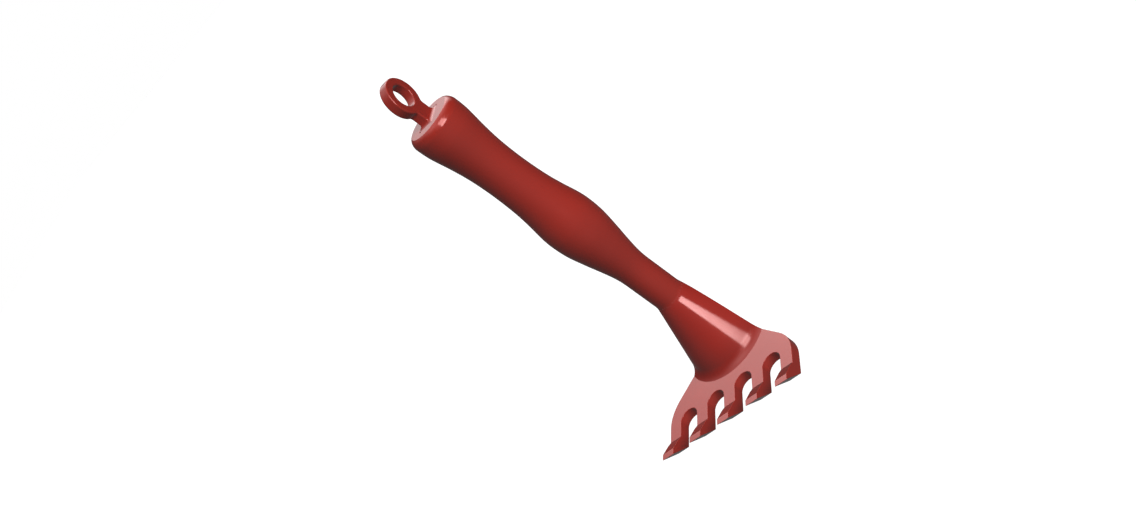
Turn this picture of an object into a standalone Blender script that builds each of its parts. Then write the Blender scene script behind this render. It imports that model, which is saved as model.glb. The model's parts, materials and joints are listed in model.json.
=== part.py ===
"""Uncapping fork: a fan of five hooked claws on a turned handle with a hanging eye.

Metres. +Z runs up the handle's axis, X along the row of claws, and the claws point to -Y.
The origin is where the handle's axis meets the flat back face of the head plate.
One through bolt clamps cone, grip and eye; three countersunk screws hold the plate to the cone.
"""
from math import atan2, cos, hypot, pi, radians, sin, sqrt

import bmesh
import bpy
from mathutils import Matrix

GAP = 0.0003                  # clearance left between touching pieces
OVERSHOOT = 0.002             # how far a cutter runs past the face it opens
MERGE = 0.00001

NECK_RADIUS = 0.0081          # slim neck above the cone, and the crown of the head

# Head plate and claws. Its flanks are planes at 45 degrees, tangent to the neck.
PLATE_THICK = 0.0053
CLAW_COUNT = 5
CLAW_PITCH = 0.0170
CLAW_WIDTH = 0.0068
CLAW_ROOT_Y = -0.0428         # front face ends here and the claw starts to hook forward
CLAW_KNEE = (-0.0461, 0.0074)
CLAW_TIP_Z = 0.0103           # plane of the tip facet, parallel to the plate
CLAW_TIP_TOP_Y = -0.0532
CLAW_TIP_Y = -0.0566
CLAW_HEEL_Y = -0.0459         # back face ends here and the long back bevel starts
SLOT_TOP_Y = -0.0295
SHOULDER_RADIUS = 0.0200

# Cone that spreads from the neck to the plate, cut off by the flanks
CONE_TOP_Z = 0.0436
CONE_SLOPE = 0.352            # radius gained per unit of height
FOOT_FILLET = 0.0034
BOLT_RECESS = (0.0052, 0.0125)        # radius, ceiling height
CONE_SPIGOT_FLATS = 0.0096
CONE_SPIGOT_TOP_Z = 0.0560

# Grip: (height, radius) stations of the turned surface
GRIP_TOP_Z = 0.1835
GRIP_FLAT_RADIUS = 0.0111
GRIP_RIM_HEIGHT = 0.0040
GRIP_STATIONS = (
    (0.0620, NECK_RADIUS), (0.0690, 0.0084), (0.0770, 0.0097), (0.0860, 0.0115),
    (0.0960, 0.0132), (0.1045, 0.0136), (0.1100, 0.0132), (0.1180, 0.0120),
    (0.1270, 0.0110), (0.1400, 0.0105), (0.1520, 0.0108), (0.1620, 0.0118),
    (0.1720, 0.0132), (0.1780, 0.0136),
)

# Hanging eye
EYE_THICK = 0.0048
EYE_RING_Z = 0.1981
EYE_OUTER = 0.0089
EYE_HOLE = 0.0055
EYE_NECK_HALF = 0.0046
EYE_FOOT_FLARE = 0.0020
EYE_SPIGOT = (0.0082, 0.0124)         # size across X and Y, hidden under the foot
EYE_SPIGOT_Z = 0.1662

# Fasteners
BOLT_RADIUS = 0.0020
BOLT_HEAD = (0.0035, 0.0040)          # radius, height
BOLT_HEX_FLATS = 0.0030
BOLT_TIP_Z = 0.1780
WASHER = (0.0045, 0.0010)             # radius, thickness
CLEAR_BORE = 0.0024
EYE_INSERT = (0.0028, 0.0100)         # radius, length
SCREW_COUNT = 3
SCREW_RING = 0.0140                   # radius of the arc that the screws stand on
SCREW_RADIUS = 0.0020
SCREW_HEAD_RADIUS = 0.0038
SCREW_SINK = 0.0003                   # head lies this far below the back face
SCREW_TIP_Z = 0.0126
SCREW_CROSS = (0.0046, 0.0010, 0.0012)  # arm length, arm width, depth
INSERT = (0.0029, 0.0070)             # radius, length

TURN_STEPS = 40
HOLE_STEPS = 24


def clear_scene():
    for obj in list(bpy.data.objects):
        bpy.data.objects.remove(obj, do_unlink=True)


def new_collection(name):
    coll = bpy.data.collections.new(name)
    bpy.context.scene.collection.children.link(coll)
    return coll


def new_material(name, colour, roughness, metallic):
    mat = bpy.data.materials.new(name)
    mat.use_nodes = True
    shader = mat.node_tree.nodes["Principled BSDF"]
    shader.inputs["Base Color"].default_value = (*colour, 1.0)
    shader.inputs["Roughness"].default_value = roughness
    shader.inputs["Metallic"].default_value = metallic
    return mat


def place(obj, coll, look=None):
    """Link an object and give it a material of its own, or mark it as a cutter."""
    coll.objects.link(obj)
    if look:
        obj.data.materials.clear()
        obj.data.materials.append(new_material(obj.name, *look))
    else:
        obj.hide_render = True
        obj.display_type = "WIRE"
    return obj


def smooth(obj, angle=30):
    obj.data.shade_smooth()
    obj.data.set_sharp_from_angle(angle=radians(angle))


def boolean(obj, tool, operation="DIFFERENCE"):
    mod = obj.modifiers.new(operation.title(), "BOOLEAN")
    mod.operation = operation
    mod.solver = "EXACT"
    mod.object = tool


def prism(name, radius, z_low, z_high, sides, centre=(0.0, 0.0), low_radius=None):
    """A vertical cylinder, cone or regular prism."""
    mesh = bpy.data.meshes.new(name)
    bm = bmesh.new()
    low = radius if low_radius is None else low_radius
    middle = Matrix.Translation((*centre, (z_low + z_high) / 2))
    bmesh.ops.create_cone(bm, cap_ends=True, segments=sides, radius1=low, radius2=radius,
                          depth=z_high - z_low, matrix=middle)
    bm.to_mesh(mesh)
    bm.free()
    return bpy.data.objects.new(name, mesh)


def hexagon(name, flats, z_low, z_high):
    return prism(name, flats / sqrt(3), z_low, z_high, 6)


def box(name, size, centre):
    mesh = bpy.data.meshes.new(name)
    bm = bmesh.new()
    where = Matrix.Translation(centre) @ Matrix.Diagonal((*size, 1))
    bmesh.ops.create_cube(bm, size=1.0, matrix=where)
    bm.to_mesh(mesh)
    bm.free()
    return bpy.data.objects.new(name, mesh)


def turned(name, profile, closed=False):
    """Turn (radius, height) points about Z. The outer side runs from top to bottom."""
    mesh = bpy.data.meshes.new(name)
    edges = [(i, i + 1) for i in range(len(profile) - 1)]
    if closed:
        edges.append((len(profile) - 1, 0))
    mesh.from_pydata([(r, 0.0, z) for r, z in profile], edges, [])
    obj = bpy.data.objects.new(name, mesh)
    mod = obj.modifiers.new("Turn", "SCREW")
    mod.steps = mod.render_steps = TURN_STEPS
    mod.use_merge_vertices = True
    mod.merge_threshold = MERGE
    mod.use_smooth_shade = True
    return obj


def extruded(name, outline, thickness, matrix):
    """A closed outline in its own XY plane, filled and extruded about that plane."""
    curve = bpy.data.curves.new(name, "CURVE")
    curve.dimensions = "2D"
    curve.fill_mode = "BOTH"
    curve.extrude = thickness / 2
    spline = curve.splines.new("POLY")
    spline.points.add(len(outline) - 1)
    for point, (x, y) in zip(spline.points, outline):
        point.co = (x, y, 0.0, 1.0)
    spline.use_cyclic_u = True
    guide = bpy.data.objects.new(name, curve)
    bpy.context.scene.collection.objects.link(guide)
    bpy.context.view_layer.update()
    mesh = bpy.data.meshes.new_from_object(
        guide.evaluated_get(bpy.context.evaluated_depsgraph_get()))
    bpy.data.objects.remove(guide, do_unlink=True)
    bm = bmesh.new()
    bm.from_mesh(mesh)
    bmesh.ops.remove_doubles(bm, verts=bm.verts, dist=MERGE)
    bm.to_mesh(mesh)
    bm.free()
    obj = bpy.data.objects.new(name, mesh)
    obj.matrix_world = matrix
    return obj


def arc(centre, radius, start, stop, steps):
    """Points of an arc, angles in radians, both ends included."""
    angles = [start + (stop - start) * i / steps for i in range(steps + 1)]
    return [(centre[0] + radius * cos(a), centre[1] + radius * sin(a)) for a in angles]


def spline_points(stations, steps):
    """A smooth (radius, height) curve through (height, radius) stations, flat at both ends."""
    slopes = [0.0]
    for (z0, r0), (z1, r1), (z2, r2) in zip(stations, stations[1:], stations[2:]):
        slopes.append((r2 - r0) / (z2 - z0))
    slopes.append(0.0)
    points = []
    for (z0, r0), (z1, r1), m0, m1 in zip(stations, stations[1:], slopes, slopes[1:]):
        span = z1 - z0
        for i in range(steps):
            t = i / steps
            r = ((2 * t**3 - 3 * t**2 + 1) * r0 + (t**3 - 2 * t**2 + t) * span * m0
                 + (3 * t**2 - 2 * t**3) * r1 + (t**3 - t**2) * span * m1)
            points.append((r, z0 + span * t))
    z_last, r_last = stations[-1]
    return points + [(r_last, z_last)]


def plate_outline(with_slots):
    """Fan outline seen along the handle: crown, flanks, shoulders and, if wanted, the slots."""
    half_width = (CLAW_COUNT - 1) / 2 * CLAW_PITCH + CLAW_WIDTH / 2
    bottom = CLAW_TIP_Y - OVERSHOOT
    shoulder_x = half_width - SHOULDER_RADIUS
    shoulder_at = (shoulder_x, (NECK_RADIUS - SHOULDER_RADIUS) * sqrt(2) - shoulder_x)
    half = arc((0, 0), NECK_RADIUS, pi / 2, pi / 4, TURN_STEPS // 8)
    half += arc(shoulder_at, SHOULDER_RADIUS, pi / 4, 0, 8)
    half.append((half_width, bottom))
    if with_slots:
        slot_radius = (CLAW_PITCH - CLAW_WIDTH) / 2
        for i in range(CLAW_COUNT // 2):
            slot_x = ((CLAW_COUNT - 2) / 2 - i) * CLAW_PITCH
            half.append((slot_x + slot_radius, bottom))
            half += arc((slot_x, SLOT_TOP_Y - slot_radius), slot_radius, 0, pi, 12)
            half.append((slot_x - slot_radius, bottom))
    return half + [(-x, y) for x, y in reversed(half) if x > MERGE]


def screw_places():
    """Centres of the screws, a third of a half turn apart on the claws' side of the axis."""
    angles = [-pi / 2 + (i - 1) * pi / 3 for i in range(SCREW_COUNT)]
    return [(SCREW_RING * cos(a), SCREW_RING * sin(a)) for a in angles]


def fork_plate(parts, cutters):
    """Plate and claws: their side profile, trimmed to the fan outline."""
    side = [(2 * NECK_RADIUS, 0), (2 * NECK_RADIUS, PLATE_THICK), (CLAW_ROOT_Y, PLATE_THICK),
            CLAW_KNEE, (CLAW_TIP_TOP_Y, CLAW_TIP_Z), (CLAW_TIP_Y, CLAW_TIP_Z), (CLAW_HEEL_Y, 0)]
    along_x = Matrix(((0, 0, 1, 0), (1, 0, 0, 0), (0, 1, 0, 0), (0, 0, 0, 1)))
    plate = extruded("fork_plate", side, CLAW_COUNT * CLAW_PITCH, along_x)
    place(plate, parts, RED)
    depth = 4 * CLAW_TIP_Z
    outline = extruded("fan_outline", plate_outline(True), depth, Matrix.Identity(4))
    boolean(plate, place(outline, cutters), "INTERSECT")
    for i, centre in enumerate(screw_places(), 1):
        bore = prism(f"screw_bore_{i}", SCREW_RADIUS + GAP, -OVERSHOOT, PLATE_THICK + OVERSHOOT,
                     HOLE_STEPS, centre)
        sink = screw_head(f"screw_sink_{i}", centre, GAP * sqrt(2), -OVERSHOOT)
        boolean(plate, place(bore, cutters))
        boolean(plate, place(sink, cutters))


def screw_head(name, centre, margin, z_low):
    """A 90 degree countersunk head, wider by the margin, starting at z_low."""
    z_high = SCREW_SINK + SCREW_HEAD_RADIUS - SCREW_RADIUS
    top = SCREW_RADIUS + margin
    return prism(name, top, z_low, z_high, HOLE_STEPS, centre, low_radius=top + z_high - z_low)


def plate_screw(index, centre, parts, cutters):
    """Countersunk machine screw, driven from the back face."""
    screw = screw_head(f"plate_screw_{index}", centre, 0.0, SCREW_SINK)
    place(screw, parts, STEEL)
    head_top = SCREW_SINK + SCREW_HEAD_RADIUS - SCREW_RADIUS
    shank = prism(f"shank_{index}", SCREW_RADIUS, head_top - GAP, SCREW_TIP_Z, HOLE_STEPS, centre)
    boolean(screw, place(shank, cutters), "UNION")
    length, width, depth = SCREW_CROSS
    middle = (*centre, SCREW_SINK)
    for name, size in (("a", (length, width, 2 * depth)), ("b", (width, length, 2 * depth))):
        boolean(screw, place(box(f"cross_{index}{name}", size, middle), cutters))
    smooth(screw)


def sleeve(name, outer, inner, z_low, z_high, parts, look, centre=(0.0, 0.0)):
    """A plain tube: a threaded insert or a washer."""
    loop = [(inner, z_high), (outer, z_high), (outer, z_low), (inner, z_low)]
    tube = turned(name, loop, closed=True)
    tube.modifiers["Turn"].steps = tube.modifiers["Turn"].render_steps = HOLE_STEPS
    tube.location = (*centre, 0.0)
    return place(tube, parts, look)


def cone_radius(z):
    return NECK_RADIUS + (CONE_TOP_Z - z) * CONE_SLOPE


def socket_cone(parts, cutters):
    """Cone with a hollow fillet at its foot, a hexagonal spigot on top and a bolt recess below."""
    base = PLATE_THICK + GAP
    lean = atan2(CONE_SLOPE, 1.0)
    corner = cone_radius(PLATE_THICK)
    tangent = FOOT_FILLET * (hypot(1.0, CONE_SLOPE) - CONE_SLOPE)
    centre = (corner + tangent, PLATE_THICK + FOOT_FILLET)
    low_angle = -pi / 2 - atan2(sqrt(FOOT_FILLET**2 - (FOOT_FILLET - GAP)**2), FOOT_FILLET - GAP)
    foot = arc(centre, FOOT_FILLET, -pi + lean, low_angle, 6)
    recess_radius, recess_top = BOLT_RECESS
    profile = [(CLEAR_BORE, CONE_TOP_Z), (NECK_RADIUS, CONE_TOP_Z)] + foot
    profile += [(recess_radius, base), (recess_radius, recess_top), (CLEAR_BORE, recess_top)]
    cone = place(turned("socket_cone", profile, closed=True), parts, RED)
    trim = extruded("fan_trim", plate_outline(False), 3 * CONE_TOP_Z, Matrix.Identity(4))
    boolean(cone, place(trim, cutters), "INTERSECT")
    spigot = hexagon("cone_spigot", CONE_SPIGOT_FLATS, CONE_TOP_Z - OVERSHOOT, CONE_SPIGOT_TOP_Z)
    boolean(cone, place(spigot, cutters), "UNION")
    bore = prism("cone_bore", CLEAR_BORE, recess_top - OVERSHOOT, CONE_SPIGOT_TOP_Z + OVERSHOOT,
                 TURN_STEPS)
    boolean(cone, place(bore, cutters))
    for i, centre in enumerate(screw_places(), 1):
        pocket = prism(f"insert_pocket_{i}", INSERT[0] + GAP, base - OVERSHOOT,
                       base + 2 * GAP + INSERT[1], HOLE_STEPS, centre)
        boolean(cone, place(pocket, cutters))


def grip(parts, cutters):
    """Turned handle: slim neck, palm swell, waist and butt swell with a rounded rim."""
    rim = GRIP_STATIONS[-1][1] - GRIP_FLAT_RADIUS
    upward = [(NECK_RADIUS, CONE_TOP_Z + GAP)] + spline_points(GRIP_STATIONS, 3)
    rim_arc = [(GRIP_FLAT_RADIUS + rim * x, GRIP_TOP_Z + GRIP_RIM_HEIGHT * (y - 1))
               for x, y in arc((0, 0), 1, 0, pi / 2, 6)]
    outer = list(reversed(upward + rim_arc))
    profile = [(CLEAR_BORE, GRIP_TOP_Z)] + outer + [(CLEAR_BORE, CONE_TOP_Z + GAP)]
    handle = place(turned("grip", profile, closed=True), parts, RED)
    low = hexagon("grip_low_socket", CONE_SPIGOT_FLATS + 2 * GAP, CONE_TOP_Z - OVERSHOOT,
                  CONE_SPIGOT_TOP_Z + GAP)
    top = eye_blade("grip_top_socket", GAP, EYE_SPIGOT_Z - GAP, GRIP_TOP_Z + OVERSHOOT)
    boolean(handle, place(low, cutters))
    boolean(handle, place(top, cutters))


def eye_blade(name, margin, z_low, z_high):
    """Rectangular spigot of the eye, or its socket with a margin all round."""
    across, along = EYE_SPIGOT
    size = (across + 2 * margin, along + 2 * margin, z_high - z_low)
    return box(name, size, (0.0, 0.0, (z_low + z_high) / 2))


def eye_flare(name):
    """Foot of the neck: rectangles that grow along a hollow quarter circle towards the grip."""
    base = GRIP_TOP_Z + GAP
    sections = [(EYE_FOOT_FLARE * (1 - cos(a)), EYE_FOOT_FLARE * (1 - sin(a)))
                for a in (pi / 2 * i / 5 for i in range(6))]
    bm = bmesh.new()
    rings = []
    for spread, height in sections:
        half_x, half_y = EYE_THICK / 2 + spread, EYE_NECK_HALF + spread
        rings.append([bm.verts.new((sx * half_x, sy * half_y, base + height))
                      for sx, sy in ((1, 1), (-1, 1), (-1, -1), (1, -1))])
    bm.faces.new(rings[0])
    bm.faces.new(reversed(rings[-1]))
    for upper, lower in zip(rings, rings[1:]):
        for i in range(4):
            j = (i + 1) % 4
            bm.faces.new((upper[i], lower[i], lower[j], upper[j]))
    mesh = bpy.data.meshes.new(name)
    bmesh.ops.recalc_face_normals(bm, faces=bm.faces)
    bm.to_mesh(mesh)
    bm.free()
    return bpy.data.objects.new(name, mesh)


def hanging_eye(parts, cutters):
    """Flat ring on a neck with a flared foot, and a square spigot that sits in the grip."""
    join = EYE_RING_Z - sqrt(EYE_OUTER**2 - EYE_NECK_HALF**2)
    low = GRIP_TOP_Z + 2 * GAP
    start = -pi / 2 + atan2(EYE_NECK_HALF, EYE_RING_Z - join)
    ring = arc((0, EYE_RING_Z), EYE_OUTER, start, 3 * pi / 2 - (start + pi / 2), 36)
    outline = [(EYE_NECK_HALF, low)] + ring + [(-EYE_NECK_HALF, low)]
    across_x = Matrix(((0, 0, 1, 0), (1, 0, 0, 0), (0, 1, 0, 0), (0, 0, 0, 1)))
    eye = place(extruded("hanging_eye", outline, EYE_THICK, across_x), parts, RED)
    hole = prism("eye_hole", EYE_HOLE, -EYE_THICK, EYE_THICK, 32)
    hole.matrix_world = Matrix.Translation((0, 0, EYE_RING_Z)) @ Matrix.Rotation(pi / 2, 4, "Y")
    boolean(eye, place(hole, cutters))
    boolean(eye, place(eye_flare("eye_foot"), cutters), "UNION")
    spigot = eye_blade("eye_spigot", 0.0, EYE_SPIGOT_Z, GRIP_TOP_Z + 3 * GAP)
    boolean(eye, place(spigot, cutters), "UNION")
    pocket = prism("eye_pocket", EYE_INSERT[0] + GAP, EYE_SPIGOT_Z - OVERSHOOT, BOLT_TIP_Z + GAP,
                   HOLE_STEPS)
    boolean(eye, place(pocket, cutters))


def through_bolt(parts, cutters):
    """Long socket-head bolt from the cone's recess into the eye's insert."""
    head_radius, head_height = BOLT_HEAD
    head_top = BOLT_RECESS[1] - 2 * GAP - WASHER[1]
    head_low = head_top - head_height
    profile = [(0, BOLT_TIP_Z), (BOLT_RADIUS, BOLT_TIP_Z), (BOLT_RADIUS, head_top),
               (head_radius, head_top), (head_radius, head_low), (0, head_low)]
    bolt = place(turned("through_bolt", profile), parts, STEEL)
    key = hexagon("bolt_key", BOLT_HEX_FLATS, head_low - OVERSHOOT, head_low + head_height / 2)
    boolean(bolt, place(key, cutters))


RED = ((0.30, 0.022, 0.018), 0.22, 0.0)
STEEL = ((0.60, 0.60, 0.62), 0.30, 1.0)
BRASS = ((0.72, 0.52, 0.22), 0.35, 1.0)


def main():
    clear_scene()
    parts = new_collection("uncapping_fork")
    cutters = new_collection("cutters")
    fork_plate(parts, cutters)
    socket_cone(parts, cutters)
    grip(parts, cutters)
    hanging_eye(parts, cutters)
    through_bolt(parts, cutters)
    washer_top = BOLT_RECESS[1] - GAP
    sleeve("bolt_washer", WASHER[0], BOLT_RADIUS + GAP, washer_top - WASHER[1], washer_top,
           parts, STEEL)
    insert_low = EYE_SPIGOT_Z + GAP
    sleeve("eye_insert", EYE_INSERT[0], BOLT_RADIUS + GAP, insert_low, insert_low + EYE_INSERT[1],
           parts, BRASS)
    for i, centre in enumerate(screw_places(), 1):
        plate_screw(i, centre, parts, cutters)
        low = PLATE_THICK + 2 * GAP
        sleeve(f"screw_insert_{i}", INSERT[0], SCREW_RADIUS + GAP, low, low + INSERT[1],
               parts, BRASS, centre)


main()
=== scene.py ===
"""Uncapping fork in glossy red moulded plastic: the visible pieces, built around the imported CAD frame.

Metres, in the CAD frame: +Z runs up the handle's axis, X along the row of claws, claws to -Y,
and the floor at Z 0. The pieces follow the CAD part's dimensions at a finer resolution, with
rounded edges, nearly closed seams, and small corrections to foot, claws, rim and ring.
"""
import json
from math import acos, atan2, cos, hypot, pi, radians, sin, sqrt, tan

import bmesh
import bpy
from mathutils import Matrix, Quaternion, Vector

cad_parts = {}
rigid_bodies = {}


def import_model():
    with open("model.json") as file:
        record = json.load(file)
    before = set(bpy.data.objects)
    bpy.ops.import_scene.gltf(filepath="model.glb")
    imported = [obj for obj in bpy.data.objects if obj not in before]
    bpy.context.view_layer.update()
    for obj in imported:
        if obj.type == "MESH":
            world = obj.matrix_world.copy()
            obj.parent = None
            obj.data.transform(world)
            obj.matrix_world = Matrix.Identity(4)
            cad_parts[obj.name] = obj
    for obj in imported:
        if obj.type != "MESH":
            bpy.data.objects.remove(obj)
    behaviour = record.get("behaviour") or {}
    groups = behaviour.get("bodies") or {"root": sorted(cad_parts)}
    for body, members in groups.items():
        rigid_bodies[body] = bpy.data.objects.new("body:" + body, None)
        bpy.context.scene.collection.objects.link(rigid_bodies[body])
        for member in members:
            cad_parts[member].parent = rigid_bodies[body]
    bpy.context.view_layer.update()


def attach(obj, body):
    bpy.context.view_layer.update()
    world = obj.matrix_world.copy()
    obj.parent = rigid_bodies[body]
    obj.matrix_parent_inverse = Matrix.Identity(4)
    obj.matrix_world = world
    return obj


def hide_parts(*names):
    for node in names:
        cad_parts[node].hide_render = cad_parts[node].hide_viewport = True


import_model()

SEAM = 0.000015               # gap left at a visible seam
MERGE = 0.0000005             # points closer than this are one point
HOLE_STEPS = 48               # sides of a round hole
RECESS_STEPS = 50             # differs, so that no corner lines up with the screw pockets' corners
SCREW_STEPS = 64
GRIP_STEPS = 128

# Head
NECK_RADIUS = 0.0081
PLATE_THICK = 0.0053
CLAW_COUNT = 5
CLAW_PITCH = 0.0170
CLAW_WIDTH = 0.0068
CLAW_ROOT_Y = -0.0428
CLAW_KNEE = (-0.0461, 0.0071)
CLAW_TIP_Z = 0.0103
CLAW_TIP_TOP_Y = -0.0532
CLAW_TIP_Y = -0.0566
CLAW_HEEL_Y = -0.0459
SLOT_TOP_Y = -0.0295
SHOULDER_RADIUS = 0.0200
PLATE_ROUND = 0.00022         # rounding of the plate's and the claws' edges

# Cone
CONE_TOP_Z = 0.0436
CONE_SLOPE = 0.352
FOOT_TOP_Z = 0.0092           # the foot's hollow band runs from here out to its radius on the plate
FOOT_RADIUS = 0.0241
FOOT_TURN = radians(22)       # the band's normals lean this far either side of its chord's
TOP_BLEND_RADIUS = 0.0100     # hollow blend from the cone into the neck
CONE_ROUND = 0.0004           # rounding where the flanks cut the cone
BOLT_RECESS = (0.0052, 0.0125)
CONE_SPIGOT_FLATS = 0.0096
CONE_SPIGOT_TOP_Z = 0.0560

# Grip
GRIP_TOP_Z = 0.1835
GRIP_FLAT_RADIUS = 0.0111
NECK_BLEND_TOP_Z = 0.0460     # from here to the first station the grip's neck is straight
GRIP_RIM = (0.0054, radians(35), radians(69))   # first radius, where the turn tightens, where it ends
GRIP_STATIONS = (
    (0.0620, NECK_RADIUS), (0.0690, 0.0084), (0.0770, 0.0097), (0.0860, 0.0115),
    (0.0960, 0.0132), (0.1045, 0.0136), (0.1100, 0.0132), (0.1180, 0.0120),
    (0.1270, 0.0110), (0.1400, 0.0105), (0.1520, 0.0108), (0.1620, 0.0118),
    (0.1720, 0.01327), (0.1758, 0.01355), (0.1788, 0.0136),
)

# Hanging eye
EYE_THICK = 0.0048
EYE_RING_Z = 0.1978
EYE_OUTER = 0.0092
EYE_HOLE = 0.0054
EYE_NECK_HALF = 0.0046
EYE_FOOT_FLARE = 0.0019
EYE_ROUND = 0.0007            # rounding of the ring's outer edges
EYE_HOLE_ROUND = 0.0006
EYE_WEB = 0.0020              # hollow between ring and neck
EYE_SPIGOT = (0.0082, 0.0124)
EYE_SPIGOT_Z = 0.1662

# Fasteners
GAP = 0.0003
CLEAR_BORE = 0.0024
EYE_INSERT_RADIUS = 0.0028
BOLT_TIP_Z = 0.1780
SCREW_COUNT = 3
SCREW_RING = 0.0140
SCREW_RADIUS = 0.0020
SCREW_HEAD_RADIUS = 0.0038
SCREW_SINK = 0.0003
SINK_EASE = 0.00015           # the sink's extra width round the head, and the chamfer of its mouth
SCREW_TIP_Z = 0.0126
SCREW_CROSS = (0.0046, 0.0010, 0.0012)   # cross recess: across, width and depth
INSERT = (0.0029, 0.0070)

# Materials, linear colours
RED_DEEP = (0.327, 0.0150, 0.0066)
RED_LIGHT = (0.353, 0.0162, 0.0072)
RED_SCUFFED = (0.44, 0.055, 0.042)

LOOKS = {                     # shift of the patterns, tint of the gloss, tone of the colour; the ring's darker tone is painted shade
    "head_plate": ((0, 0, 0), (1.0, 0.55, 0.53), (1.0, 1.0, 1.0)),
    "head_cone": ((3, 1, 0), (1.0, 0.62, 0.60), (1.0, 0.8, 0.8)),
    "turned_grip": ((1, 5, 2), (1.0, 0.55, 0.53), (1.0, 1.0, 1.0)),
    "hanging_ring": ((7, 2, 4), (1.0, 0.55, 0.53), (0.86, 0.90, 0.90)),
}
FOOT_PAINTED_SHADE = (0.0060, 0.0195, 0.84)   # painted shade on the cone's foot: full below, none above, level
STEEL = ((0.62, 0.61, 0.60), (0.50, 0.50, 0.50), 0.30)   # bright, dark, roughness
BRASS = ((0.80, 0.58, 0.26), (0.66, 0.45, 0.18), 0.28)
TURNED = (1, 1, 12)           # stretch of the tool marks

# Camera and studio: azimuth from +X towards +Y and elevation, in degrees
CAMERA_PLACE = (0.28213, -0.43698, 0.31574)
CAMERA_TURN = Quaternion((0.820648, 0.395824, 0.385569, -0.145589))
CAMERA_SENSOR = 36.0          # millimetres
CAMERA_LENS = 40.293
LIGHT_AIM = Vector((0.0, 0.0, 0.09))
LIGHT_DISTANCE = 4.0
AREA_LIGHTS = (               # name, azimuth, elevation, size, power
    ("key", -57, 44, 2.0, 82.0), ("side", -17, 26, 2.0, 111.5), ("back", 120, 50, 2.0, 66.0),
    ("rear_fill", 126, 4, 0.6, 70.0), ("left_fill", -145, 4, 0.6, 8.0),
)
ROOM_LEVEL = 0.04
GLOWS = (                     # azimuth, elevation, sharpness, level
    (-50, -20, 1.4, 0.46), (-36, 38, 14, 1.0), (-90, 71, 12, 1.4), (-140, 10, 4, 0.17),
    (10, -10, 5, 0.12), (131, -45, 8, 0.05),
    (90, 62, 10, 0.9), (150, 60, 10, 0.791), (30, 60, 10, 0.564),
)
PANELS = (                    # azimuth rise and fall, elevation rise and fall, level
    ((-53, -48), (-24, -15), (3.2, 10), (10, 14), 9.2),
    ((-53, -48), (-24, -15), (10, 14), (18, 26), 7.2),
    ((-53, -48), (-24, -15), (18, 26), (43, 58), 5.0),
    ((60, 95), (108, 144), (-1, 27), (40, 62), 2.95),
)
FLOOR_Z = -0.00005
FLOOR_HALF = 3.0
FLOOR_TONE = (0.2, 0.2, 0.2, 1.0)
FLOOR_GLOW = 0.985            # keeps the floor near white


# ---------------------------------------------------------------- mesh helpers

def new_object(name, bm):
    bmesh.ops.remove_doubles(bm, verts=bm.verts, dist=MERGE)
    bmesh.ops.recalc_face_normals(bm, faces=bm.faces)
    mesh = bpy.data.meshes.new(name)
    bm.to_mesh(mesh)
    bm.free()
    obj = bpy.data.objects.new(name, mesh)
    bpy.context.scene.collection.objects.link(obj)
    return obj


def loft(name, rings, closed=False):
    """Quads between rings of points. Open lofts are capped, closed ones return to the first."""
    bm = bmesh.new()
    rows = [[bm.verts.new(p) for p in ring] for ring in rings]
    pairs = list(zip(rows, rows[1:]))
    if closed:
        pairs.append((rows[-1], rows[0]))
    else:
        bm.faces.new(rows[0])
        bm.faces.new(rows[-1])
    for low, high in pairs:
        for i in range(len(low)):
            j = (i + 1) % len(low)
            bm.faces.new((low[i], low[j], high[j], high[i]))
    return new_object(name, bm)


def lathe(name, profile, steps, centre=(0.0, 0.0), closed=False):
    """Turn (radius, height) points about a vertical axis."""
    turns = [(cos(2 * pi * i / steps), sin(2 * pi * i / steps)) for i in range(steps)]
    rings = [[(centre[0] + r * c, centre[1] + r * s, z) for c, s in turns] for r, z in profile]
    return loft(name, rings, closed)


def slab(name, outline, low, high, place=lambda x, y, z: (x, y, z)):
    """A flat outline raised from low to high, in axes that place() turns into the frame's."""
    return loft(name, [[place(x, y, low) for x, y in outline], [place(x, y, high) for x, y in outline]])


def box(name, low, high):
    (x0, y0, z0), (x1, y1, z1) = low, high
    return slab(name, [(x0, y0), (x1, y0), (x1, y1), (x0, y1)], z0, z1)


def boolean(obj, tools, operation="DIFFERENCE"):
    """Cut or join with each tool and apply the result. The tools are used up."""
    for tool in tools:
        mod = obj.modifiers.new(operation, "BOOLEAN")
        mod.operation = operation
        mod.solver = "EXACT"
        mod.object = tool
    mesh = bpy.data.meshes.new_from_object(
        obj.evaluated_get(bpy.context.evaluated_depsgraph_get()))
    bm = bmesh.new()
    bm.from_mesh(mesh)
    bmesh.ops.remove_doubles(bm, verts=bm.verts, dist=MERGE)
    bm.to_mesh(mesh)
    bm.free()
    obj.modifiers.clear()
    old, obj.data = obj.data, mesh
    bpy.data.meshes.remove(old)
    mesh.name = obj.name
    for tool in tools:
        bpy.data.objects.remove(tool, do_unlink=True)
    return obj


def shade(obj, angle):
    """Smooth shading with sharp edges above an angle, and flat faces that stay flat."""
    obj.data.shade_smooth()
    obj.data.set_sharp_from_angle(angle=radians(angle))
    mod = obj.modifiers.new("Weighted normals", "WEIGHTED_NORMAL")
    mod.keep_sharp = True
    mod.weight = 50


def arc(centre, radius, start, stop, steps):
    """Points of an arc, angles in radians, both ends included."""
    angles = [start + (stop - start) * i / steps for i in range(steps + 1)]
    return [(centre[0] + radius * cos(a), centre[1] + radius * sin(a)) for a in angles]


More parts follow.
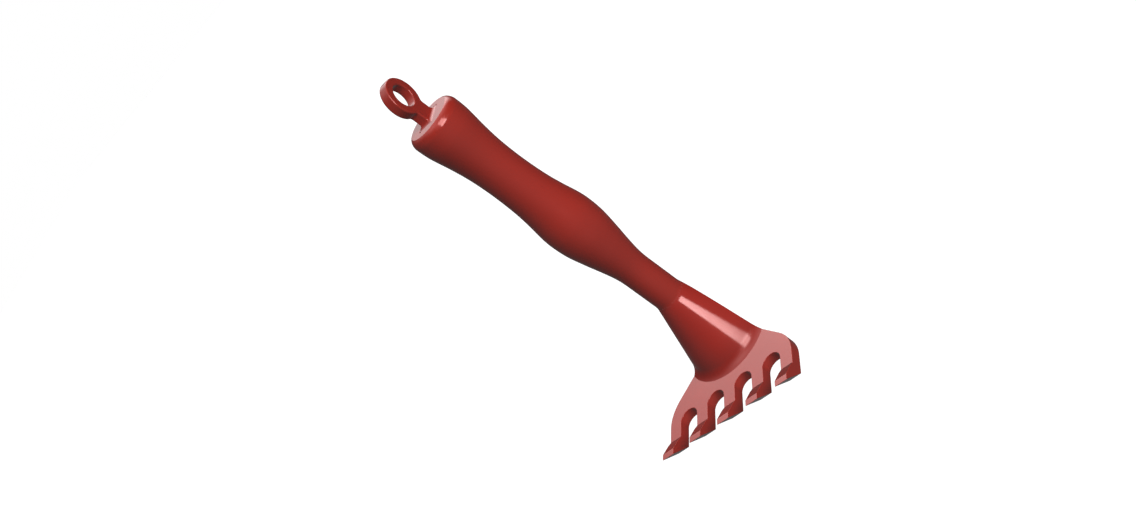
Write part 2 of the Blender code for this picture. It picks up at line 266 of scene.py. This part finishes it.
def spline_points(stations, steps):
    """A smooth (radius, height) curve through (height, radius) stations, flat at both ends."""
    slopes = [0.0]
    for (z0, r0), (_, _), (z2, r2) in zip(stations, stations[1:], stations[2:]):
        slopes.append((r2 - r0) / (z2 - z0))
    slopes.append(0.0)
    points = []
    for (z0, r0), (z1, r1), m0, m1 in zip(stations, stations[1:], slopes, slopes[1:]):
        span = z1 - z0
        for i in range(steps):
            t = i / steps
            r = ((2 * t**3 - 3 * t**2 + 1) * r0 + (t**3 - 2 * t**2 + t) * span * m0
                 + (3 * t**2 - 2 * t**3) * r1 + (t**3 - t**2) * span * m1)
            points.append((r, z0 + span * t))
    z_last, r_last = stations[-1]
    return points + [(r_last, z_last)]


# ---------------------------------------------------------------- pieces

def plate_outline(steps):
    """Fan outline seen along the handle, with its four slots, run out below the claw tips."""
    half_width = (CLAW_COUNT - 1) / 2 * CLAW_PITCH + CLAW_WIDTH / 2
    bottom = CLAW_TIP_Y - 0.004
    shoulder_x = half_width - SHOULDER_RADIUS
    shoulder_at = (shoulder_x, (NECK_RADIUS - SHOULDER_RADIUS) * sqrt(2) - shoulder_x)
    half = arc((0, 0), NECK_RADIUS, pi / 2, pi / 4, steps)
    half += arc(shoulder_at, SHOULDER_RADIUS, pi / 4, 0, 2 * steps)
    half.append((half_width, bottom))
    slot_radius = (CLAW_PITCH - CLAW_WIDTH) / 2
    for i in range(CLAW_COUNT // 2):
        slot_x = ((CLAW_COUNT - 2) / 2 - i) * CLAW_PITCH
        half.append((slot_x + slot_radius, bottom))
        half += arc((slot_x, SLOT_TOP_Y - slot_radius), slot_radius, 0, pi, 3 * steps)
        half.append((slot_x - slot_radius, bottom))
    return half + [(-x, y) for x, y in reversed(half) if x > MERGE]


def screw_places():
    angles = [-pi / 2 + (i - 1) * pi / 3 for i in range(SCREW_COUNT)]
    return [(SCREW_RING * cos(a), SCREW_RING * sin(a)) for a in angles]


def round_edges(obj, radius, segments, angle):
    """Round the edges that turn by more than an angle."""
    bm = bmesh.new()
    bm.from_mesh(obj.data)
    bmesh.ops.remove_doubles(bm, verts=bm.verts, dist=MERGE)
    bmesh.ops.dissolve_limit(bm, angle_limit=radians(0.2), verts=bm.verts, edges=bm.edges)
    sharp = [e for e in bm.edges if len(e.link_faces) == 2
             and e.calc_face_angle() > radians(angle)]
    bmesh.ops.bevel(bm, geom=sharp, offset=radius, offset_type="OFFSET", segments=segments,
                    profile=0.5, affect="EDGES", clamp_overlap=True)
    bm.to_mesh(obj.data)
    bm.free()


def fork_plate():
    """Plate and claws: the fan outline cut from their side profile, with every edge rounded."""
    side = [(2 * NECK_RADIUS, 0), (2 * NECK_RADIUS, PLATE_THICK), (CLAW_ROOT_Y, PLATE_THICK),
            CLAW_KNEE, (CLAW_TIP_TOP_Y, CLAW_TIP_Z), (CLAW_TIP_Y, CLAW_TIP_Z), (CLAW_HEEL_Y, 0)]
    half = CLAW_COUNT * CLAW_PITCH / 2
    plate = slab("head_plate", side, -half, half, lambda y, z, x: (x, y, z))
    fan = slab("fan", plate_outline(12), -0.01, 0.03)
    boolean(plate, [fan], "INTERSECT")
    round_edges(plate, PLATE_ROUND, 3, 8)
    cutters = []
    for centre in screw_places():
        hole = SCREW_RADIUS + GAP
        wide = SCREW_HEAD_RADIUS + SINK_EASE
        above, below, axis = 0.02, -0.004, 0.0001
        sink = [(axis, above), (hole, above), (hole, wide - hole + SCREW_SINK), (wide, SCREW_SINK),
                (wide, SINK_EASE), (wide + SINK_EASE, -0.00001), (wide + SINK_EASE, below), (axis, below)]
        cutters.append(lathe("sink", sink, SCREW_STEPS, centre))
    boolean(plate, cutters)
    shade(plate, 35)
    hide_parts("fork_plate")
    return plate


def neck_blend():
    """Centre and start height of the hollow arc that turns the cone into the neck."""
    lean = atan2(CONE_SLOPE, 1.0)
    reach = TOP_BLEND_RADIUS * tan(lean / 2)
    return (NECK_RADIUS + TOP_BLEND_RADIUS, CONE_TOP_Z + reach), CONE_TOP_Z - reach * cos(lean)


def blend_radius(z):
    """Radius of the cone's line, of the blend and of the neck at one height near the cone's top."""
    (centre_r, centre_z), start = neck_blend()
    if z <= start:
        return NECK_RADIUS + (CONE_TOP_Z - z) * CONE_SLOPE
    if z >= centre_z:
        return NECK_RADIUS
    return centre_r - sqrt(TOP_BLEND_RADIUS**2 - (centre_z - z)**2)


def cone_profile():
    """(radius, height) from the foot's outer edge up to the neck."""
    start = (FOOT_RADIUS, PLATE_THICK + SEAM)
    stop = (NECK_RADIUS + (CONE_TOP_Z - FOOT_TOP_Z) * CONE_SLOPE, FOOT_TOP_Z)
    chord = (stop[0] - start[0], stop[1] - start[1])
    radius = hypot(*chord) / 2 / sin(FOOT_TURN)
    out = pi / 2 - atan2(chord[1], -chord[0])        # angle of the chord's outward normal
    middle = ((start[0] + stop[0]) / 2, (start[1] + stop[1]) / 2)
    reach = radius * cos(FOOT_TURN)
    centre = (middle[0] + reach * cos(out), middle[1] + reach * sin(out))
    foot = arc(centre, radius, out + pi + FOOT_TURN, out + pi - FOOT_TURN, 20)
    start_z = neck_blend()[1]
    line = [FOOT_TOP_Z + (start_z - FOOT_TOP_Z) * i / 30 for i in range(1, 31)]
    blend = [start_z + (CONE_TOP_Z - start_z) * i / 8 for i in range(1, 9)]
    return foot + [(blend_radius(z), z) for z in line + blend]


def cone_ring(radius, z):
    """One level of the cone: its circle cut by both flanks, corners rounded, closed by the crown."""
    reach = max(-1.0, min(1.0, (NECK_RADIUS - CONE_ROUND) / (radius - CONE_ROUND)))
    turn = acos(reach)                       # from the flank's normal to the corner's centre
    flank = pi / 4
    corner = ((radius - CONE_ROUND) * cos(flank - turn), (radius - CONE_ROUND) * sin(flank - turn))
    right = arc(corner, CONE_ROUND, flank - turn, flank, 6)
    foot = (NECK_RADIUS * cos(flank), NECK_RADIUS * sin(flank))
    x1, y1 = right[-1]
    right += [(x1 + (foot[0] - x1) * i / 10, y1 + (foot[1] - y1) * i / 10) for i in range(1, 11)]
    right += arc((0, 0), NECK_RADIUS, flank, pi / 2, 12)[1:]
    front = arc((0, 0), radius, -pi / 2, flank - turn, 60)[:-1]
    half = front + right
    ring = half + [(-x, y) for x, y in reversed(half[1:-1])]
    return [(x, y, z) for x, y in ring]


def socket_cone():
    """Cone with a hollow foot, cut by the head's flanks, and its hidden spigot, bore and pockets."""
    rings = [cone_ring(r, z) for r, z in cone_profile()]
    cone = loft("head_cone", rings)
    hexagon = lathe("spigot", [(CONE_SPIGOT_FLATS / sqrt(3), CONE_TOP_Z - 0.002),
                               (CONE_SPIGOT_FLATS / sqrt(3), CONE_SPIGOT_TOP_Z)], 6)
    boolean(cone, [hexagon], "UNION")
    recess_radius, recess_top = BOLT_RECESS
    below = -0.01
    cutters = [lathe("bore", [(CLEAR_BORE, below), (CLEAR_BORE, 0.08)], HOLE_STEPS),
               lathe("recess", [(recess_radius, below), (recess_radius, recess_top)], RECESS_STEPS)]
    pocket, pocket_top = INSERT[0] + GAP, PLATE_THICK + 3 * GAP + INSERT[1]
    for centre in screw_places():
        cutters.append(lathe("pocket", [(pocket, below), (pocket, pocket_top)], HOLE_STEPS, centre))
    boolean(cone, cutters)
    shade(cone, 40)
    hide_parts("socket_cone")
    return cone


def grip():
    """Turned handle: neck, palm swell, waist and butt swell with a rounded rim."""
    top_r = GRIP_STATIONS[-1][1]
    wide, first, last = GRIP_RIM
    tight = (top_r - GRIP_FLAT_RADIUS - wide * (1 - cos(first))) / (cos(first) - cos(last))
    knee_r = top_r - wide * (1 - cos(first))
    knee_z = GRIP_TOP_Z - tight * (sin(last) - sin(first))
    low = CONE_TOP_Z + SEAM
    levels = [low + (NECK_BLEND_TOP_Z - low) * i / 12 for i in range(12)]
    straight = GRIP_STATIONS[0][0] - NECK_BLEND_TOP_Z
    levels += [NECK_BLEND_TOP_Z + straight * i / 10 for i in range(10)]
    neck = [(blend_radius(z), z) for z in levels]
    rim = arc((top_r - wide, knee_z - wide * sin(first)), wide, 0, first, 12)
    rim += arc((knee_r - tight * cos(first), knee_z - tight * sin(first)), tight, first, last, 12)[1:]
    profile = neck + spline_points(GRIP_STATIONS, 10)[:-1] + rim
    handle = lathe("turned_grip", profile, GRIP_STEPS)
    below, above = 0.03, 0.20
    hexagon = (CONE_SPIGOT_FLATS + 2 * GAP) / sqrt(3)
    cutters = [lathe("bore", [(CLEAR_BORE, below), (CLEAR_BORE, above)], HOLE_STEPS),
               lathe("hex_socket", [(hexagon, below), (hexagon, CONE_SPIGOT_TOP_Z + GAP)], 6),
               box("eye_socket", (-EYE_SPIGOT[0] / 2 - GAP, -EYE_SPIGOT[1] / 2 - GAP, EYE_SPIGOT_Z - GAP),
                   (EYE_SPIGOT[0] / 2 + GAP, EYE_SPIGOT[1] / 2 + GAP, above))]
    boolean(handle, cutters)
    shade(handle, 40)
    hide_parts("grip")
    return handle


def eye_outline(steps):
    """(y, z) outline of the eye with its neck. The points next to its corners stay clear of EYE_ROUND."""
    low = GRIP_TOP_Z + 0.0002
    reach = EYE_OUTER + EYE_WEB
    web = (EYE_NECK_HALF + EYE_WEB, EYE_RING_Z - sqrt(reach**2 - (EYE_NECK_HALF + EYE_WEB)**2))
    lean = atan2(web[1] - EYE_RING_Z, web[0])
    half = [(EYE_NECK_HALF, low + (web[1] - low) * i / 5) for i in range(5)]
    half += arc(web, EYE_WEB, pi, lean + pi, 10)[:-1]
    ring = arc((0, EYE_RING_Z), EYE_OUTER, lean, pi - lean, steps)
    base = [(EYE_NECK_HALF * (i / 4 - 1), low) for i in range(1, 8)]
    return half + ring + [(-y, z) for y, z in reversed(half)] + base


def inset(outline, distance):
    """The outline moved inwards along its normals. It runs anticlockwise."""
    points = [Vector(p) for p in outline]
    moved = []
    for before, here, after in zip(points[-1:] + points, points, points[1:] + points[:1]):
        one, two = (here - before).normalized(), (after - here).normalized()
        inwards = Vector((-one.y - two.y, one.x + two.x)).normalized()
        reach = distance / inwards.dot(Vector((-one.y, one.x)))
        moved.append(tuple(here + reach * inwards))
    return moved


def rounded_rectangle(half_x, half_y, corner, z, steps=6):
    ring = []
    for sx, sy, start in ((1, 1, 0), (-1, 1, pi / 2), (-1, -1, pi), (1, -1, 3 * pi / 2)):
        centre = (sx * (half_x - corner), sy * (half_y - corner))
        ring += [(x, y, z) for x, y in arc(centre, corner, start, start + pi / 2, steps)]
    return ring


def hanging_eye():
    """Ring and neck as one band lofted round the hole, a foot that flares out, and the spigot."""
    outline = eye_outline(96)
    angles = [atan2(z - EYE_RING_Z, y) for y, z in outline]
    hole = [(cos(a), sin(a)) for a in angles]
    half = EYE_THICK / 2
    rings = []

    def at(points, x):
        rings.append([(x, y, z) for y, z in points])

    def hole_points(grow):
        return [((EYE_HOLE + grow) * c, EYE_RING_Z + (EYE_HOLE + grow) * s) for c, s in hole]

    quarter = [pi / 2 * i / 5 for i in range(6)]
    for side in (1, -1):
        steps = quarter if side == 1 else list(reversed(quarter))
        inner = [(hole_points(EYE_HOLE_ROUND * (1 - cos(a))), side * (half - EYE_HOLE_ROUND * (1 - sin(a))))
                 for a in steps]
        outer = [(inset(outline, EYE_ROUND * (1 - sin(a))), side * (half - EYE_ROUND * (1 - cos(a))))
                 for a in steps]
        for points, x in (inner + outer if side == 1 else outer + inner):
            at(points, x)
    eye = loft("hanging_ring", rings, closed=True)
    foot = []
    base = GRIP_TOP_Z + SEAM
    for a in (pi / 2 * i / 14 for i in range(15)):
        spread = EYE_FOOT_FLARE * (1 - cos(a)) - 0.00001
        foot.append(rounded_rectangle(half + spread, EYE_NECK_HALF + spread, EYE_ROUND + 0.6 * spread,
                                      base + EYE_FOOT_FLARE * (1 - sin(a))))
    foot.insert(0, rounded_rectangle(half - 0.0006, EYE_NECK_HALF - 0.0006, EYE_ROUND,
                                     base + EYE_FOOT_FLARE + 0.0004))
    levels = ((EYE_SPIGOT_Z, 0.0), (GRIP_TOP_Z - GAP, 0.0), (GRIP_TOP_Z + 0.0006, 0.0016))
    spigot = loft("spigot", [[(sx * (EYE_SPIGOT[0] / 2 - less), sy * (EYE_SPIGOT[1] / 2 - less), z)
                              for sx, sy in ((1, 1), (-1, 1), (-1, -1), (1, -1))] for z, less in levels])
    boolean(eye, [loft("foot", foot), spigot], "UNION")
    boolean(eye, [lathe("pocket", [(EYE_INSERT_RADIUS + GAP, EYE_SPIGOT_Z - 0.005),
                                   (EYE_INSERT_RADIUS + GAP, BOLT_TIP_Z + GAP)], HOLE_STEPS)])
    shade(eye, 40)
    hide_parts("hanging_eye")
    return eye


def plate_screw(number):
    """Countersunk cross-head screw that holds the plate to the cone from below."""
    x, y = screw_places()[number - 1]
    face = SCREW_SINK
    land = 0.00006
    profile = [(SCREW_HEAD_RADIUS - 0.0001, face), (SCREW_HEAD_RADIUS - land / 3, face + land),
               (SCREW_RADIUS + 0.0002, face + SCREW_HEAD_RADIUS - SCREW_RADIUS - 0.0002),
               (SCREW_RADIUS, face + SCREW_HEAD_RADIUS - SCREW_RADIUS + 0.0003),
               (SCREW_RADIUS, SCREW_TIP_Z - 0.0005), (SCREW_RADIUS - 0.0005, SCREW_TIP_Z)]
    screw = lathe(f"cross_screw_{number}", profile, SCREW_STEPS, (x, y))
    across, width, depth = SCREW_CROSS
    cutters = []
    for along_x in (True, False):
        levels = []
        for z, reach, half in ((face - depth, across / 2 + depth / 2, width / 2 + depth / 6),
                               (face + depth, across / 2 - depth / 2, width / 2 - depth / 6)):
            corners = ((reach, half), (-reach, half), (-reach, -half), (reach, -half))
            levels.append([(x + a, y + b, z) if along_x else (x - b, y + a, z) for a, b in corners])
        cutters.append(loft("cross", levels))
    boolean(screw, cutters)
    shade(screw, 40)
    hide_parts(f"plate_screw_{number}")
    return screw


# ---------------------------------------------------------------- materials

class Graph:
    """A material's node tree, with one short call for each kind of node that the looks need."""

    def __init__(self, name):
        self.mat = bpy.data.materials.new(name)
        self.mat.use_nodes = True
        self.tree = self.mat.node_tree
        self.shader = self.tree.nodes["Principled BSDF"]
        self.place = self.tree.nodes.new("ShaderNodeTexCoord").outputs["Object"]

    def put(self, value, socket):
        if isinstance(value, bpy.types.NodeSocket):
            self.tree.links.new(value, socket)
        else:
            socket.default_value = value

    def math(self, operation, *values, clamp=False):
        node = self.tree.nodes.new("ShaderNodeMath")
        node.operation = operation
        node.use_clamp = clamp
        for value, socket in zip(values, node.inputs):
            self.put(value, socket)
        return node.outputs[0]

    def noise(self, scale, detail=3.0, roughness=0.5, stretch=(1, 1, 1), shift=(0, 0, 0)):
        """Noise of about 1/scale metres, from 0 to 1."""
        mapping = self.tree.nodes.new("ShaderNodeMapping")
        mapping.inputs["Scale"].default_value = stretch
        mapping.inputs["Location"].default_value = shift
        self.put(self.place, mapping.inputs["Vector"])
        node = self.tree.nodes.new("ShaderNodeTexNoise")
        node.inputs["Scale"].default_value = scale
        node.inputs["Detail"].default_value = detail
        node.inputs["Roughness"].default_value = roughness
        self.put(mapping.outputs["Vector"], node.inputs["Vector"])
        return node.outputs["Fac"]

    def ramp(self, value, low, high, start=0.0, end=1.0):
        """Smooth step of a value between low and high, returned between start and end."""
        node = self.tree.nodes.new("ShaderNodeMapRange")
        node.interpolation_type = "SMOOTHSTEP"
        for socket, number in zip(("From Min", "From Max", "To Min", "To Max"), (low, high, start, end)):
            node.inputs[socket].default_value = number
        self.put(value, node.inputs["Value"])
        return node.outputs["Result"]

    def mix(self, factor, one, two):
        node = self.tree.nodes.new("ShaderNodeMix")
        node.data_type = "RGBA"
        self.put(factor, node.inputs["Factor"])
        for value, socket in ((one, node.inputs[6]), (two, node.inputs[7])):
            self.put(value if isinstance(value, bpy.types.NodeSocket) else (*value, 1.0), socket)
        return node.outputs[2]

    def height(self):
        node = self.tree.nodes.new("ShaderNodeSeparateXYZ")
        self.put(self.place, node.inputs[0])
        return node.outputs["Z"]

    def edges(self, low, high):
        """1 on the outer edges of the mesh and 0 on flat and hollow ground."""
        geometry = self.tree.nodes.new("ShaderNodeNewGeometry")
        return self.ramp(geometry.outputs["Pointiness"], low, high)

    def bump(self, *layers):
        """Stacked bumps, each (height, depth in metres)."""
        normal = None
        for height, depth in layers:
            node = self.tree.nodes.new("ShaderNodeBump")
            node.inputs["Distance"].default_value = depth
            self.put(height, node.inputs["Height"])
            if normal:
                self.put(normal, node.inputs["Normal"])
            normal = node.outputs["Normal"]
        self.put(normal, self.shader.inputs["Normal"])

    def finish(self, colour, roughness):
        self.put(colour, self.shader.inputs["Base Color"])
        self.put(roughness, self.shader.inputs["Roughness"])
        return self.mat


def plastic(piece):
    """Glossy moulded red: faint flow mottling, handling haze, fine scratches, paler scuffed edges and
    painted shade.
    """
    shift, gloss, tone_and_painted_shade = LOOKS[piece]
    # the tone scales the red; on the ring this darker tone is painted shade
    deep, light = (tuple(c * t for c, t in zip(red, tone_and_painted_shade)) for red in (RED_DEEP, RED_LIGHT))
    g = Graph("red_" + piece)
    flow = g.noise(38.0, 4.0, 0.55, (1, 1, 0.45), shift)
    haze = g.noise(120.0, 3.0, 0.6, (1, 1, 1), shift)
    grain = g.noise(2600.0, 2.0, 0.5)
    lines = g.noise(900.0, 2.0, 0.7, (1, 1, 0.04), shift)
    scratches = g.ramp(lines, 0.67, 0.73)
    scuffs = g.math("MULTIPLY", g.edges(0.53, 0.60), g.ramp(haze, 0.42, 0.66))
    colour = g.mix(g.ramp(flow, 0.32, 0.68), deep, light)
    if piece == "head_cone":
        # painted shade: the cone's red darkens down towards its foot, where the plate shades it
        low, high, level = FOOT_PAINTED_SHADE
        colour = g.mix(g.ramp(g.height(), low, high), tuple(level * c for c in deep), colour)
    colour = g.mix(g.math("MULTIPLY", scuffs, 0.35), colour, RED_SCUFFED)
    rough = g.math("ADD", g.ramp(haze, 0.3, 0.72, 0.10, 0.15), g.math("MULTIPLY", scratches, 0.07))
    rough = g.math("ADD", rough, g.math("MULTIPLY", scuffs, 0.14), clamp=True)
    g.bump((g.noise(150.0, 1.0, 0.4), 0.000012), (grain, 0.0000006), (scratches, -0.0000006))
    g.shader.inputs["IOR"].default_value = 1.5
    g.shader.inputs["Specular IOR Level"].default_value = 0.95
    g.shader.inputs["Specular Tint"].default_value = (*gloss, 1.0)
    return g.finish(colour, rough)


def metal(name, bright, dark, roughness, stretch):
    """Turned metal: tool marks along one direction, dull patches and bright edges."""
    g = Graph(name)
    marks = g.noise(700.0, 4.0, 0.6, stretch)
    patches = g.noise(260.0, 4.0, 0.6)
    worn = g.math("MULTIPLY", g.edges(0.52, 0.62), g.ramp(patches, 0.35, 0.6))
    colour = g.mix(g.ramp(patches, 0.3, 0.7), dark, bright)
    colour = g.mix(g.math("MULTIPLY", worn, 0.5), colour, tuple(min(1.0, 1.15 * c) for c in bright))
    rough = g.math("ADD", g.ramp(marks, 0.3, 0.7, roughness - 0.06, roughness + 0.06),
                   g.ramp(patches, 0.45, 0.75, 0.0, 0.12))
    g.bump((marks, 0.000004), (g.noise(4000.0, 2.0), 0.0000015))
    g.shader.inputs["Metallic"].default_value = 1.0
    return g.finish(colour, rough)


def dress(obj, material):
    obj.data.materials.clear()
    obj.data.materials.append(material)


# ---------------------------------------------------------------- studio

def direction(azimuth, elevation):
    a, e = radians(azimuth), radians(elevation)
    return Vector((cos(a) * cos(e), sin(a) * cos(e), sin(e)))


def area_light(name, azimuth, elevation, size, power):
    """A square light aimed at the object's middle. It lights the colour and leaves the gloss alone."""
    data = bpy.data.lights.new(name, "AREA")
    data.size = size
    data.energy = power
    light = bpy.data.objects.new(name, data)
    towards = direction(azimuth, elevation)
    light.location = LIGHT_AIM + LIGHT_DISTANCE * towards
    light.rotation_mode = "QUATERNION"
    light.rotation_quaternion = towards.to_track_quat("Z", "Y")
    light.visible_camera = False
    data.use_shadow = name != "back"    # its handle shadow would fall across the claws
    bpy.context.scene.collection.objects.link(light)


def studio_world():
    """What the gloss reflects: a dim room, soft glows and softboxes. The camera sees plain white."""
    world = bpy.data.worlds.new("studio")
    bpy.context.scene.world = world
    world.use_nodes = True
    world.cycles_visibility.diffuse = False
    tree = world.node_tree
    ray = tree.nodes.new("ShaderNodeTexCoord").outputs["Generated"]

    def math(operation, *values):
        node = tree.nodes.new("ShaderNodeMath")
        node.operation = operation
        for value, socket in zip(values, node.inputs):
            if isinstance(value, bpy.types.NodeSocket):
                tree.links.new(value, socket)
            else:
                socket.default_value = value
        return node.outputs[0]

    def step(value, low, high):
        node = tree.nodes.new("ShaderNodeMapRange")
        node.interpolation_type = "SMOOTHSTEP"
        tree.links.new(value, node.inputs["Value"])
        node.inputs["From Min"].default_value = low
        node.inputs["From Max"].default_value = high
        return node.outputs["Result"]

    def window(value, rise, fall):
        return math("MULTIPLY", step(value, *rise), math("SUBTRACT", 1.0, step(value, *fall)))

    total = ROOM_LEVEL
    for azimuth, elevation, sharpness, level in GLOWS:
        dot = tree.nodes.new("ShaderNodeVectorMath")
        dot.operation = "DOT_PRODUCT"
        tree.links.new(ray, dot.inputs[0])
        dot.inputs[1].default_value = direction(azimuth, elevation)
        power = math("MULTIPLY", math("SUBTRACT", dot.outputs["Value"], 1.0), sharpness)
        total = math("ADD", total, math("MULTIPLY", math("EXPONENT", power), level))
    split = tree.nodes.new("ShaderNodeSeparateXYZ")
    tree.links.new(ray, split.inputs[0])
    azimuth = math("ARCTAN2", split.outputs["Y"], split.outputs["X"])
    elevation = math("ARCSINE", split.outputs["Z"])
    for rise, fall, low, high, level in PANELS:
        across = window(azimuth, *(tuple(radians(a) for a in pair) for pair in (rise, fall)))
        up = window(elevation, *(tuple(radians(a) for a in pair) for pair in (low, high)))
        total = math("ADD", total, math("MULTIPLY", math("MULTIPLY", across, up), level))
    seen = tree.nodes.new("ShaderNodeLightPath").outputs["Is Camera Ray"]
    level = math("ADD", math("MULTIPLY", total, math("SUBTRACT", 1.0, seen)), seen)
    tree.links.new(level, tree.nodes["Background"].inputs["Strength"])
    tree.nodes["Background"].inputs["Color"].default_value = (1, 1, 1, 1)


def floor():
    """Plain near-white floor with a faint soft shadow, kept out of the object's reflections."""
    bm = bmesh.new()
    corners = ((-1, -1), (1, -1), (1, 1), (-1, 1))
    bm.faces.new([bm.verts.new((sx * FLOOR_HALF, sy * FLOOR_HALF, FLOOR_Z)) for sx, sy in corners])
    plane = new_object("floor", bm)
    g = Graph("pale_floor")
    g.shader.inputs["Specular IOR Level"].default_value = 0.0
    g.shader.inputs["Emission Color"].default_value = (1, 1, 1, 1)
    g.shader.inputs["Emission Strength"].default_value = FLOOR_GLOW
    g.mat.cycles.emission_sampling = "NONE"
    plane.data.materials.append(g.finish(FLOOR_TONE, 0.9))


# ---------------------------------------------------------------- scene

camera_data = bpy.data.cameras.new("camera")
camera_data.sensor_width = CAMERA_SENSOR
camera_data.lens = CAMERA_LENS
camera = bpy.data.objects.new("camera", camera_data)
camera.location = CAMERA_PLACE
camera.rotation_mode = "QUATERNION"
camera.rotation_quaternion = CAMERA_TURN
bpy.context.scene.collection.objects.link(camera)
bpy.context.scene.camera = camera
bpy.context.scene.view_settings.view_transform = "Standard"

for make in (fork_plate, socket_cone, grip, hanging_eye):
    piece = make()
    dress(piece, plastic(piece.name))
    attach(piece, "root")

steel = metal("bright_steel", *STEEL, TURNED)
brass = metal("turned_brass", *BRASS, TURNED)
for number in range(1, SCREW_COUNT + 1):
    screw = plate_screw(number)
    dress(screw, steel)
    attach(screw, "root")
for node in ("through_bolt", "bolt_washer"):
    dress(bpy.data.objects[node], steel)
for node in ["eye_insert"] + [f"screw_insert_{i + 1}" for i in range(SCREW_COUNT)]:
    dress(bpy.data.objects[node], brass)

for name, azimuth, elevation, size, power in AREA_LIGHTS:
    area_light(name, azimuth, elevation, size, power)
studio_world()
floor()

for obj in bpy.data.objects:
    obj.visible_glossy = False    # the gloss shows the studio, never the piece's own neighbours
for name in ("head_plate", "head_cone", "floor"):
    bpy.data.objects[name].visible_diffuse = False    # no glow between plate and cone or off the floor
